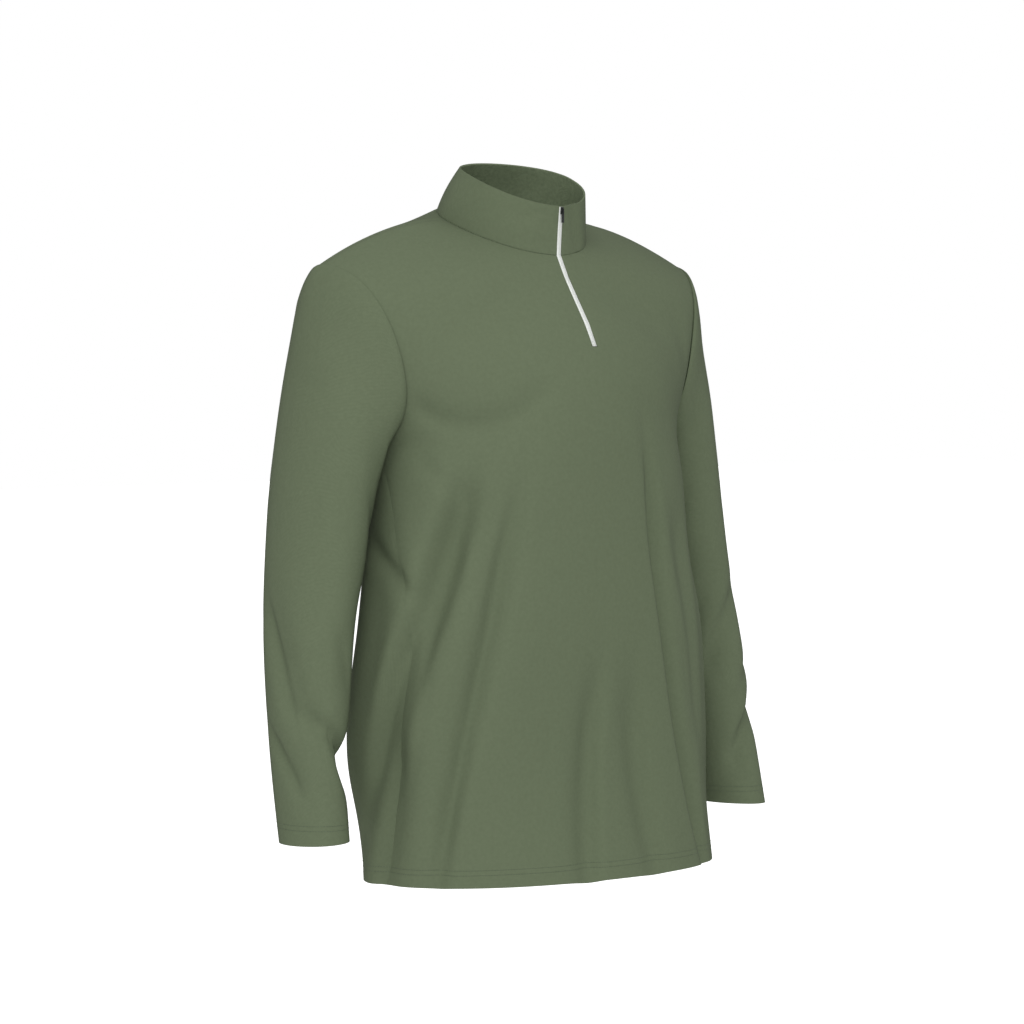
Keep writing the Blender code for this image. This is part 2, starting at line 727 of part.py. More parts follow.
def round_edges(target, width, segments=2):
    bevel = target.modifiers.new("rounded edges", "BEVEL")
    bevel.width = width
    bevel.segments = segments
    bevel.limit_method = "ANGLE"
    bevel.angle_limit = math.radians(40)


def build_slider(collection, cutters, surface):
    """The zip's slider, with the bridge that carries its pull."""
    place = zip_place()
    body_y = -(SLIDER_GAP + SLIDER_THICK / 2)
    slider = box("zip_slider", (SLIDER_WIDE, SLIDER_THICK, SLIDER_LONG), (0, body_y, 0),
                 collection, surface)
    round_edges(slider, 0.4 * MM)
    hinge = hinge_middle()
    bridge_size = (BRIDGE_WIDE, BRIDGE_TALL + BRIDGE_FOOT, BRIDGE_LONG)
    bridge_middle = (0, face_y() - (BRIDGE_TALL - BRIDGE_FOOT) / 2, 0)
    bridge = box("bridge", bridge_size, bridge_middle, cutters)
    eye = box("bridge_eye", (2 * SLIDER_WIDE, EYE_TALL, EYE_LONG), hinge, cutters)
    combine(slider, bridge, "UNION")
    combine(slider, eye, "DIFFERENCE")
    for piece in (slider, bridge, eye):
        piece.matrix_world = place
    return slider


def face_y():
    """The slider's outer face, in its own frame."""
    return -(SLIDER_GAP + SLIDER_THICK)


def hinge_middle():
    """The middle of the bridge's eye, on the axis of the pull, in the slider's frame."""
    return Vector((0.0, face_y() - EYE_TALL / 2, 0.0))


def build_pull(collection, cutters, surface):
    """The pull tab. Its origin is on its hinge, and it hangs plumb from the slider's bridge."""
    hinge = zip_place() @ hinge_middle()
    middle = (0, 0, BAR / 2 - PULL_LONG / 2)
    pull = box("zip_pull", (PULL_WIDE, BAR, PULL_LONG), middle, collection, surface)
    round_edges(pull, 0.2 * MM)
    window_size = (WINDOW_WIDE, 3 * BAR, WINDOW_LONG)
    window = box("pull_window", window_size, (0, 0, -BAR / 2 - WINDOW_LONG / 2), cutters)
    combine(pull, window, "DIFFERENCE")
    for piece in (pull, window):
        piece.location = hinge
    return pull


def main():
    for old in list(bpy.data.objects):
        bpy.data.objects.remove(old, do_unlink=True)
    collection = bpy.data.collections.new("long_sleeve_sports_top")
    bpy.context.scene.collection.children.link(collection)
    cutters = bpy.data.collections.new("cutters")
    cutters.hide_render = True
    bpy.context.scene.collection.children.link(cutters)
    jersey = material("jersey", (0.138, 0.175, 0.107), 0.85)
    tape = material("zip_tape", (0.62, 0.64, 0.60), 0.7)
    build_body("front", True, collection, jersey)
    build_body("back", False, collection, jersey)
    build_sleeve("sleeve_left", 1, collection, jersey)
    build_sleeve("sleeve_right", -1, collection, jersey)
    build_collar(collection, jersey)
    build_zip_tape(collection, tape)
    metal = material("dark_metal", (0.02, 0.022, 0.022), 0.4, 0.9)
    build_slider(collection, cutters, metal)
    build_pull(collection, cutters, metal)


main()
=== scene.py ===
# %% [markdown]
# # A long sleeve quarter-zip sports top
# The top is worn, but there is no wearer: five knitted pieces keep the shape of the body that
# fills them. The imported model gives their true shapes. This script adds what a knitted top
# shows close up: creases, seams that sink in, twin stitching, a nylon zip and its slider.

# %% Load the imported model
import math

import bmesh
import bpy
from mathutils import Matrix, Vector, kdtree


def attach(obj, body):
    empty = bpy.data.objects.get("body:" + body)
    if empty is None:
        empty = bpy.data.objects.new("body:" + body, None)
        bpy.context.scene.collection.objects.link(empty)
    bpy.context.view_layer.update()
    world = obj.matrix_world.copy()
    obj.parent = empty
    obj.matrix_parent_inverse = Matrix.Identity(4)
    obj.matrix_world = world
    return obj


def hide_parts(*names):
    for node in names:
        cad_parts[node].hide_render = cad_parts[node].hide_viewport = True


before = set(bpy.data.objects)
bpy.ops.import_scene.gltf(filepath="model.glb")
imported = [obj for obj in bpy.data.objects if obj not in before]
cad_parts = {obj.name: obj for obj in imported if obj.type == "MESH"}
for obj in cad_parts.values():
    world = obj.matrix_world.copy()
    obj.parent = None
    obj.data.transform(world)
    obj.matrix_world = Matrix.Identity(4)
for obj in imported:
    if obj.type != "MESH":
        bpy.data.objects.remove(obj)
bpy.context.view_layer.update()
MM = 0.001
HEM = -0.700
CUFF = -0.650

# %% [markdown]
# ## The camera
# A studio photograph of clothes is taken from far away with a long lens, so that the top
# doesn't look wider at the front than at the back. The camera stands 4.5 metres away, a
# little lower than the neck, and turned 38 degrees towards the wearer's right.

# %% Camera
TURN = math.radians(-38)
LOOKS_DOWN = math.radians(3.008)
PLACE = (-2.7797, -3.5388, -0.086)
LENS = 148.5
camera_data = bpy.data.cameras.new("camera")
camera_data.lens = LENS
camera_data.sensor_width = 36.0
camera_data.clip_end = 60.0
camera = bpy.data.objects.new("camera", camera_data)
camera.location = PLACE
camera.rotation_euler = (math.radians(90) - LOOKS_DOWN, 0.0, TURN)
bpy.context.scene.collection.objects.link(camera)
bpy.context.scene.camera = camera
print("camera at", tuple(camera.location), "lens", LENS, "mm")

# %% [markdown]
# ## From solid to cloth
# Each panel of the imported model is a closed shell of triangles, coarse enough to pack. Its
# outer side has the right shape, so a copy of it is the start of the cloth. The triangles are
# joined back into quads, because subdivision makes a smooth surface from quads and a lumpy
# one from triangles.

# %% Take the outer side of a panel
MERGE = 0.02 * MM
FACES_THAT_WAY = 0.8
RIM_ANGLE = math.radians(55)
BEND_IN_A_QUAD = math.radians(60)
SKEW_OF_A_QUAD = math.radians(100)


def outer_side(node, way):
    """The outer side of a cloth node as quads, spread from the face furthest along way."""
    way = Vector(way)
    sheet = bmesh.new()
    sheet.from_mesh(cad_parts[node].data)
    bmesh.ops.remove_doubles(sheet, verts=sheet.verts, dist=MERGE)
    sheet.normal_update()
    facing = [face for face in sheet.faces if face.normal.dot(way) > FACES_THAT_WAY]
    first = max(facing, key=lambda face: face.calc_center_median().dot(way))
    kept = {first}
    waiting = [first]
    while waiting:
        for edge in waiting.pop().edges:
            if len(edge.link_faces) == 2 and edge.calc_face_angle() < RIM_ANGLE:
                fresh = [face for face in edge.link_faces if face not in kept]
                kept.update(fresh)
                waiting.extend(fresh)
    inside = [face for face in sheet.faces if face not in kept]
    bmesh.ops.delete(sheet, geom=inside, context="FACES")
    bmesh.ops.join_triangles(
        sheet, faces=sheet.faces, angle_face_threshold=BEND_IN_A_QUAD,
        angle_shape_threshold=SKEW_OF_A_QUAD)
    return sheet


# %% [markdown]
# ## A flat map of each panel
# Knit runs along the cloth, not along the room, so every panel needs a flat map. Unwrapping
# gives one that is close to the real paper pattern. It comes out with no true direction or
# size, so it is then turned until its second direction points up the panel, and scaled to metres.
# A sleeve is a tube, and its map is cut open along the seam under the arm.
#
# One fault is left here, which shows only from very near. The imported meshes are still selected
# after they are loaded, so the first unwrap gives each of them a map as well. Every piece made
# after the front brings a copy of that map, and Blender unwraps the copy. The map named cloth
# is then true on the front alone, and the loops on the other four pieces are uneven. If all
# else were deselected before unwrapping, every map would be true.

# %% Make an object from a bmesh
def piece_from(sheet, name):
    """A finished object at the origin. The bmesh is freed."""
    mesh = bpy.data.meshes.new(name)
    sheet.to_mesh(mesh)
    sheet.free()
    for face in mesh.polygons:
        face.use_smooth = True
    piece = bpy.data.objects.new(name, mesh)
    bpy.context.scene.collection.objects.link(piece)
    return piece


# %% Mark the seam under the arm
HALF_WAY_DOWN = CUFF / 2


def cut_under_arm(sheet):
    """Marks edges as a seam, from the armhole's lowest point down to the cuff."""
    armhole = [vert for vert in sheet.verts if vert.is_boundary and vert.co.z > HALF_WAY_DOWN]
    here = min(armhole, key=lambda vert: vert.co.z)
    passed = {here}
    while True:
        steps = [edge for edge in here.link_edges if edge.other_vert(here) not in passed]
        down = max(steps, key=lambda edge: (here.co.z - edge.other_vert(here).co.z)
                   / edge.calc_length())
        down.seam = True
        here = down.other_vert(here)
        passed.add(here)
        if here.is_boundary and here.co.z < HALF_WAY_DOWN:
            return


# %% Unwrap
def unwrap(piece):
    """Adds a map named cloth to the piece, and unwraps the map that is active."""
    piece.data.uv_layers.new(name="cloth")
    bpy.context.view_layer.objects.active = piece
    piece.select_set(True)
    bpy.ops.object.mode_set(mode="EDIT")
    bpy.ops.mesh.select_all(action="SELECT")
    bpy.ops.uv.unwrap(method="ANGLE_BASED", margin=0.0)
    bpy.ops.object.mode_set(mode="OBJECT")
    piece.select_set(False)


# %% Turn and scale the map
def flatten(piece):
    """Unwraps, then turns and scales the map named cloth: V runs up, and U round."""
    unwrap(piece)
    mesh = piece.data
    uv = mesh.uv_layers["cloth"].uv
    places = [(uv[loop.index].vector.copy(), mesh.vertices[loop.vertex_index].co)
              for loop in mesh.loops]
    middle = sum((place[0] for place in places), Vector((0, 0))) / len(places)
    height = sum(place[1].z for place in places) / len(places)
    rise = sum(((flat - middle) * (point.z - height) for flat, point in places), Vector((0, 0)))
    turn = math.atan2(rise.x, rise.y)
    flat_area = 0.0
    for face in mesh.polygons:
        corners = [uv[i].vector for i in face.loop_indices]
        flat_area += abs(sum(a.x * b.y - a.y * b.x
                             for a, b in zip(corners, corners[1:] + corners[:1]))) / 2
    area = sum(face.area for face in mesh.polygons)
    scale = math.sqrt(area / flat_area)
    spin = Matrix.Rotation(turn, 2)
    for entry, (flat, point) in zip(uv, places):
        entry.vector = spin @ (flat - middle) * scale
    across = [entry.vector.x for entry in uv]
    up = [entry.vector.y for entry in uv]
    size = (max(across) - min(across), max(up) - min(up))
    print(piece.name, "area", round(area, 4), "m2, map", round(size[0], 3), "by", round(size[1], 3))


# %% [markdown]
# ## Smooth
# Two levels of subdivision make faces of about three millimetres, fine enough to hold soft
# creases. Subdivision rounds off a sheet's corners, which would open a gap where two seams
# meet, so the corners of the outline are held by a crease value of one.

# %% Corners of the outline
CORNER = math.radians(40)


def sharp_corners(piece):
    """Vertices where a sheet's outline turns by more than a corner's angle."""
    sheet = bmesh.new()
    sheet.from_mesh(piece.data)
    found = []
    for vert in sheet.verts:
        ends = [(edge.other_vert(vert).co - vert.co).normalized()
                for edge in vert.link_edges if edge.is_boundary]
        if len(ends) == 2 and ends[0].dot(ends[1]) > -math.cos(CORNER):
            found.append(vert.index)
    sheet.free()
    return found


# %% Subdivide a sheet for good
LEVELS = 2


def smooth(piece):
    """Applies Catmull-Clark subdivision, with the outline's corners kept."""
    keep = sharp_corners(piece)
    sharp = piece.data.attributes.new("crease_vert", "FLOAT", "POINT")
    for index in keep:
        sharp.data[index].value = 1.0
    modifier = piece.modifiers.new("smooth", "SUBSURF")
    modifier.levels = LEVELS
    modifier.render_levels = LEVELS
    modifier.boundary_smooth = "PRESERVE_CORNERS"
    bpy.context.view_layer.update()
    graph = bpy.context.evaluated_depsgraph_get()
    finer = bpy.data.meshes.new_from_object(piece.evaluated_get(graph))
    piece.modifiers.clear()
    piece.data = finer
    finer.name = piece.name
    for face in finer.polygons:
        face.use_smooth = True


# %% [markdown]
# ## Where a crease lies
# A maker would place a crease on the cloth with a tape measure: so far round from the front's
# middle, and so high. So each vertex is given that place. A level plane cuts the panel every
# few millimetres, and the length along each cut is the length along the cloth. A sleeve is
# nearly round, so its angle round its own bent axis does instead.

# %% A plane's line on a panel
def cut_line(piece, height):
    """Where a level plane cuts a panel: chains of (point, normal)."""
    sheet = bmesh.new()
    sheet.from_mesh(piece.data)
    sheet.normal_update()
    cut = bmesh.ops.bisect_plane(
        sheet, geom=sheet.verts[:] + sheet.edges[:] + sheet.faces[:],
        plane_co=(0, 0, height), plane_no=(0, 0, 1))["geom_cut"]
    sheet.normal_update()
    edges = {item for item in cut if isinstance(item, bmesh.types.BMEdge)}
    chains = []
    while edges:
        verts = [vert for edge in edges for vert in edge.verts]
        ends = [vert for vert in verts if sum(other in edges for other in vert.link_edges) == 1]
        here = min(ends or verts, key=lambda vert: tuple(vert.co))
        chain = [(here.co.copy(), here.normal.copy())]
        while True:
            ahead = [edge for edge in here.link_edges if edge in edges]
            if not ahead:
                break
            edges.discard(ahead[0])
            here = ahead[0].other_vert(here)
            chain.append((here.co.copy(), here.normal.copy()))
        chains.append(chain)
    sheet.free()
    return chains


# %% Places on a panel
SLICE = 7 * MM
NEAREST = 4
LEAST_AWAY = 0.1 * MM


def lengths_across(piece):
    """Points of level cuts: each with its length from the right edge and along which way."""
    found = []
    for step in range(int((0.0 - HEM) / SLICE)):
        for chain in cut_line(piece, HEM + (step + 0.5) * SLICE):
            points = [point for point, _ in chain]
            if points[0].x > points[-1].x:
                points.reverse()
            travelled = [0.0]
            for start, end in zip(points, points[1:]):
                travelled.append(travelled[-1] + (end - start).length)
            middle = min(range(len(points)), key=lambda index: abs(points[index].x))
            zero = travelled[middle] - points[middle].x
            for index, (point, length) in enumerate(zip(points, travelled)):
                ahead = points[min(index + 1, len(points) - 1)] - points[max(index - 1, 0)]
                found.append((point, length, zero, ahead.normalized()))
    return found


def across_panel(piece):
    """Each vertex's place: length from the centre line, height, length from the right seam."""
    found = lengths_across(piece)
    tree = kdtree.KDTree(len(found))
    for index, entry in enumerate(found):
        tree.insert(entry[0], index)
    tree.balance()
    places = []
    for vert in piece.data.vertices:
        near = [(found[index], 1 / (away + LEAST_AWAY))
                for _, index, away in tree.find_n(vert.co, NEAREST)]
        weight = sum(share for _, share in near)
        from_seam = sum((length + (vert.co - point).dot(ahead)) * share
                        for (point, length, _, ahead), share in near) / weight
        zero = sum(entry[2] * share for entry, share in near) / weight
        places.append((from_seam - zero, vert.co.z, from_seam))
    print(piece.name, len(found), "points measured,", len(places), "places")
    return places


# %% Places on a sleeve
SLEEVE_RADIUS = 0.055
# height, middle_x, middle_y
SLEEVE_AXIS = [
    (-0.060, 0.215, 0.026),
    (-0.150, 0.224, 0.036),
    (-0.250, 0.234, 0.039),
    (-0.350, 0.245, 0.036),
    (-0.440, 0.259, 0.028),
    (-0.510, 0.270, 0.015),
    (-0.580, 0.277, 0.002),
    (-0.650, 0.282, -0.014),
]


def along_table(rows, height):
    """Reads a table of (height, value, value) at a height, in straight steps."""
    if height >= rows[0][0]:
        return rows[0][1:]
    for upper, lower in zip(rows, rows[1:]):
        if height >= lower[0]:
            share = (upper[0] - height) / (upper[0] - lower[0])
            return [a + (b - a) * share for a, b in zip(upper[1:], lower[1:])]
    return rows[-1][1:]


def round_sleeve(piece, side):
    """Each vertex's place on a sleeve: length round it from its outer line, and height."""
    places = []
    for vert in piece.data.vertices:
        middle = along_table(SLEEVE_AXIS, vert.co.z)
        out = side * vert.co.x - middle[0]
        turn = math.atan2(middle[1] - vert.co.y, out)
        places.append((turn * SLEEVE_RADIUS, vert.co.z))
    return places


# %% [markdown]
# ## Press the creases in
# A crease in knitted cloth isn't a sharp line: it is a long shallow trough that fades at both
# ends, steeper on one side, often with a low ridge beside it. Each is one row of a table, in
# millimetres: where it starts and ends, how far its middle bows out, its half width on either
# side, and its depth. A sum of such rows moves each vertex in along its normal. They were
# placed from the photograph, and similar ones go on the sides that it doesn't show.
#
# Cloth lies flat where it is sewn, so the creases fade out near a seam, and the seam itself
# sinks in a little. One fold is different: the largest crosses the right side seam. Both
# panels are moved by it alike, in the same level direction, so the seam doesn't open.

# %% Depth of one crease
FADE = 14
PAST_END = 0.3
HALF_WIDTHS_FELT = 3


def crease_depth(place, row, wrap):
    """How deep one crease presses a place. A negative depth in the table is a ridge."""
    across0, up0, across1, up1, bow, wide_ahead, wide_behind, depth = row
    run = Vector((across1 - across0, up1 - up0))
    length = run.length
    ahead = run / length
    offset = Vector((place[0] - across0, place[1] - up0))
    if wrap:
        middle = (across1 - across0) / 2
        offset.x = (offset.x - middle + wrap / 2) % wrap - wrap / 2 + middle
    share = offset.dot(ahead) / length
    if share < -PAST_END or share > 1 + PAST_END:
        return 0.0
    beside = offset.y * ahead.x - offset.x * ahead.y
    beside -= bow * math.sin(math.pi * min(max(share, 0.0), 1.0))
    half_width = wide_ahead if beside > 0 else wide_behind
    if abs(beside) > HALF_WIDTHS_FELT * half_width:
        return 0.0
    ends = 1 / (1 + math.exp(-FADE * share)) / (1 + math.exp(FADE * (share - 1)))
    return depth * math.exp(-(beside / half_width) ** 2) * ends


def in_metres(creases):
    """A table in millimetres as rows in metres."""
    return [tuple(value * MM for value in row) for row in creases]


# %% Seams
SEAM_REACH = 18 * MM
SEAM_CLOSE = 0.14 * MM
SEAM_SINK = 0.45 * MM
SEAM_WIDTH = 2.0 * MM


def above_hem(point):
    """Whether a point of a panel's outline is sewn, and not on the free hem."""
    return point.z > HEM + 2 * MM


def above_cuff(point):
    """Whether a point of a sleeve's outline is at the armhole, and not on the free cuff."""
    return point.z > HALF_WAY_DOWN


def sewn_edge(piece, is_sewn):
    """Points along the edges of a sheet that are sewn, not free."""
    sheet = bmesh.new()
    sheet.from_mesh(piece.data)
    found = []
    for edge in sheet.edges:
        if edge.is_boundary and all(is_sewn(vert.co) for vert in edge.verts):
            found.append(edge.verts[0].co.copy())
            found.append((edge.verts[0].co + edge.verts[1].co) / 2)
    sheet.free()
    return found


def close_seams(piece, is_sewn):
    """Moves a sewn edge out along the cloth by a small fixed step, towards the panel on the other
    side.
    """
    sheet = bmesh.new()
    sheet.from_mesh(piece.data)
    moves = []
    for vert in sheet.verts:
        inner = [edge for edge in vert.link_edges if not edge.is_boundary]
        if vert.is_boundary and is_sewn(vert.co) and inner:
            away = sum(((vert.co - edge.other_vert(vert).co).normalized() for edge in inner),
                       Vector())
            moves.append((vert, away.normalized() * SEAM_CLOSE))
    for vert, move in moves:
        vert.co += move
    sheet.to_mesh(piece.data)
    sheet.free()


# %% Press a table of creases
def press(piece, places, creases, seams, wrap=None):
    """Moves each vertex in along its normal. Creases fade out near a sewn edge, which sinks in."""
    tree = kdtree.KDTree(len(seams))
    for index, point in enumerate(seams):
        tree.insert(point, index)
    tree.balance()
    rows = in_metres(creases)
    deepest = 0.0
    moves = []
    for vert, place in zip(piece.data.vertices, places):
        away = tree.find(vert.co)[2] if seams else 1.0
        ease = min(away / SEAM_REACH, 1.0)
        ease = ease * ease * (3 - 2 * ease)
        depth = sum(crease_depth(place, row, wrap) for row in rows) * ease
        depth += SEAM_SINK * math.exp(-(away / SEAM_WIDTH) ** 2)
        deepest = max(deepest, depth)
        moves.append(vert.normal * depth)
    for vert, move in zip(piece.data.vertices, moves):
        vert.co -= move
    print(piece.name, len(rows), "creases, deepest", round(deepest / MM, 1), "mm")


def press_side(piece, places, creases, way):
    """Moves a panel level towards the body's middle. Way is 1 on the front, -1 on the back."""
    rows = in_metres(creases)
    for vert, (_, height, from_seam) in zip(piece.data.vertices, places):
        depth = sum(crease_depth((way * from_seam, height), row, None) for row in rows)
        inward = Vector((-vert.co.x, -vert.co.y, 0)).normalized()
        vert.co += inward * depth
    print(piece.name, len(rows), "creases across the right side seam")


# %% [markdown]
# ## The front panel
# The front hangs from the chest. Long folds run down from under the arms towards the hem,
# because the shoulders carry the cloth and the waist doesn't fill it. Across is measured from
# the centre line, towards the wearer's left as positive, and up from the neck. On a crease
# that runs down, the first half width is the one on the wearer's left.

# %% Creases of the front
# across, up, across_end, up_end, bow, wide_ahead, wide_behind, depth
FRONT_CREASES = [
    (-108, -325, -202, -700, 4, 13, 10, 11.5),
    (-90, -345, -184, -685, 4, 7, 9, -2.0),
    (-92, -335, -146, -560, 2, 7, 10, 1.6),
    (0, -490, -30, -735, 2, 10, 14, 5.0),
    (14, -510, -14, -722, 2, 8, 9, -1.0),
    (50, -500, 72, -712, 0, 12, 18, 5.0),
    (72, -286, 162, -690, -8, 11, 8, 13.0),
    (90, -300, 168, -690, 12, 13, 13, -3.5),
    (130, -330, 170, -560, 0, 22, 22, 7.0),
    (120, -430, 160, -620, 6, 8, 8, 1.2),
    (175, -260, 200, -430, -4, 9, 9, 1.8),
    (-208, -206, -140, -230, -6, 14, 8, 4.2),
    (-140, -230, -62, -188, -6, 16, 8, 4.0),
    (-205, -262, -160, -300, 0, 9, 9, 2.0),
    (60, -190, 120, -228, -6, 14, 14, 1.2),
]
# The same, but across is measured from the right side seam: forward, or on the back below 0.
SIDE_CREASES = [
    (80, -300, -28, -600, -22, 29, 11, 19.0),
    (108, -300, 14, -590, -18, 8, 10, -2.5),
    (4, -560, -2, -712, 0, 24, 12, 11.0),
    (-46, -345, 14, -406, 3, 9, 14, 5.0),
    (-66, -330, -76, -610, 0, 30, 32, -12.0),
]

# %% Front panel
front = piece_from(outer_side("front", (0, -1, 0)), "front_panel")
flatten(front)
smooth(front)
front_places = across_panel(front)
press(front, front_places, FRONT_CREASES, sewn_edge(front, above_hem))
press_side(front, front_places, SIDE_CREASES, 1)
close_seams(front, above_hem)

# %% [markdown]
# ## The back panel
# The photograph doesn't show the back, so it is finished plainly: it hangs from the shoulder
# blades, with the same kind of long soft folds.

# %% Back panel
BACK_CREASES = [
    (-105, -285, -150, -570, 6, 18, 8, 6.0),
    (-50, -380, -80, -690, 6, 18, 8, 5.5),
    (12, -430, 0, -680, -4, 10, 16, 3.5),
    (85, -340, 122, -665, -8, 8, 18, 6.0),
    (150, -290, 192, -580, -8, 8, 18, 5.5),
    (-218, -295, -205, -410, 4, 14, 10, 4.0),
    (-60, -130, -10, -150, 4, 14, 14, 0.9),
    (70, -120, 130, -170, -6, 13, 13, 1.1),
]
back = piece_from(outer_side("back", (0, 1, 0)), "back_panel")
flatten(back)
smooth(back)
back_places = across_panel(back)
press(back, back_places, BACK_CREASES, sewn_edge(back, above_hem))
press_side(back, back_places, SIDE_CREASES, -1)
close_seams(back, above_hem)

# %% [markdown]
# ## The sleeves
# An arm hangs a little bent, so the sleeve's creases slant across the elbow and gather above
# the cuff on the inside. The two sleeves aren't copies: their creases differ a little. A
# place round a sleeve is 0 on its outer line, 86 on its front and 173 on its inner line.

# %% Creases of the sleeves
# round, up, round_end, up_end, bow, wide_ahead, wide_behind, depth
RIGHT_SLEEVE_CREASES = [
    (-24, -415, 32, -528, 3, 8, 14, 6.0),
    (40, -518, 128, -568, 4, 7, 10, 6.0),
    (106, -572, 168, -576, 0, 8, 8, 5.0),
    (-26, -540, 36, -598, 3, 7, 10, 5.0),
    (86, -440, 104, -492, 2, 7, 8, 1.8),
    (-110, -520, -168, -550, 3, 8, 10, 2.4),
    (-60, -440, -120, -530, 4, 8, 10, 2.2),
    (110, -230, 160, -300, 4, 10, 10, 1.6),
    (-100, -240, -150, -310, 4, 10, 10, 1.6),
]
LEFT_SLEEVE_CREASES = [
    (58, -415, 124, -505, 4, 8, 12, 4.5),
    (24, -530, 112, -600, 4, 8, 12, 6.5),
    (30, -482, 96, -545, 4, 8, 10, 2.6),
    (88, -390, 128, -462, 3, 8, 9, 1.6),
    (-112, -516, -168, -544, 3, 8, 10, 2.4),
    (-58, -432, -118, -524, 4, 8, 10, 2.0),
    (106, -236, 156, -306, 4, 10, 10, 1.6),
    (-104, -232, -152, -302, 4, 10, 10, 1.6),
]

# %% Sleeves
TUBE = 2 * math.pi * SLEEVE_RADIUS


def make_sleeve(node, name, side, creases):
    """One sleeve but for its thickness. Side is 1 on the wearer's left, -1 on the right."""
    sheet = outer_side(node, (side, 0, 0))
    cut_under_arm(sheet)
    sleeve = piece_from(sheet, name)
    flatten(sleeve)
    smooth(sleeve)
    places = round_sleeve(sleeve, side)
    press(sleeve, places, creases, sewn_edge(sleeve, above_cuff), wrap=TUBE)
    close_seams(sleeve, above_cuff)
    return sleeve


sleeve_right = make_sleeve("sleeve_right", "right_sleeve", -1, RIGHT_SLEEVE_CREASES)
sleeve_left = make_sleeve("sleeve_left", "left_sleeve", 1, LEFT_SLEEVE_CREASES)

# %% [markdown]
# ## The collar
# The collar is two layers with a thin interlining, so it stands by itself and hardly creases.
# Only its lower edge is sewn to the neck, and that edge drops towards the front.

# %% Collar
# across, up, across_end, up_end, bow, wide_ahead, wide_behind, depth
COLLAR_CREASES = [
    (15, 12, 31, -46, 0, 6, 8, 2.4),
    (-46, -12, -18, -4, 0, 6, 6, 0.8),
]
NECK_BACK = 20 * MM
NECK_DEPTH = 81.5 * MM
MIDDLE_OF_COLLAR = 5 * MM
NECK_DROP = 26 * MM
CLEAR_OF_ZIP = 5 * MM


def neck_edge(point):
    """Whether a point of the collar's outline is on its lower edge, clear of the zip."""
    forward = (NECK_BACK - point.y) / NECK_DEPTH
    return point.z < MIDDLE_OF_COLLAR - NECK_DROP * forward and abs(point.x) > CLEAR_OF_ZIP


collar = piece_from(outer_side("collar", (1, 0, 0)), "stand_collar")
flatten(collar)
smooth(collar)
collar_places = [(vert.co.x, vert.co.z) for vert in collar.data.vertices]
press(collar, collar_places, COLLAR_CREASES, [])
close_seams(collar, neck_edge)

# %% [markdown]
# ## Thickness
# Knitted cloth is about one and a half millimetres thick here. Solidify adds it on the inside,
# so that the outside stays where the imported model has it. The edge is cut square. Smooth
# shading would bend round it and draw a dark line along every seam, so the outline is marked
# as a sharp edge first.

# %% Give the cloth its thickness
CLOTH = 1.5 * MM
COLLAR_CLOTH = 2.0 * MM


def thicken(piece, thickness):
    """Marks the outline sharp and adds thickness on the inside."""
    sheet = bmesh.new()
    sheet.from_mesh(piece.data)
    for edge in sheet.edges:
        edge.smooth = not edge.is_boundary
    sheet.to_mesh(piece.data)
    sheet.free()
    wall = piece.modifiers.new("cloth thickness", "SOLIDIFY")
    wall.thickness = thickness
    wall.offset = -1.0
    wall.use_rim = True


for cloth in (front, back, sleeve_right, sleeve_left):
    thicken(cloth, CLOTH)
thicken(collar, COLLAR_CLOTH)
print("cloth", CLOTH, "m thick, collar", COLLAR_CLOTH)

# %% [markdown]
# ## Knit
# A fine sports knit is rows of tiny loops. Seen close, each column of loops is a rounded rib
# with a slanting pattern of threads on it. Waves along the flat map draw it, in a shader group
# that any cloth can use with its own loop size.

# %% One step of arithmetic in a shader group
def group_math(group, operation, a, b=None, c=None):
    """Adds a Math node. Each of a, b and c is a number, or a socket to link."""
    node = group.nodes.new("ShaderNodeMath")
    node.operation = operation
    for slot, value in zip(node.inputs, (a, b, c)):
        if value is None:
            continue
        if isinstance(value, (int, float)):
            slot.default_value = value
        else:
            group.links.new(value, slot)
    return node.outputs[0]


# %% Shader group: knit loops
THREAD_SLANT = 0.45
MOTTLE_SCALE = 260.0


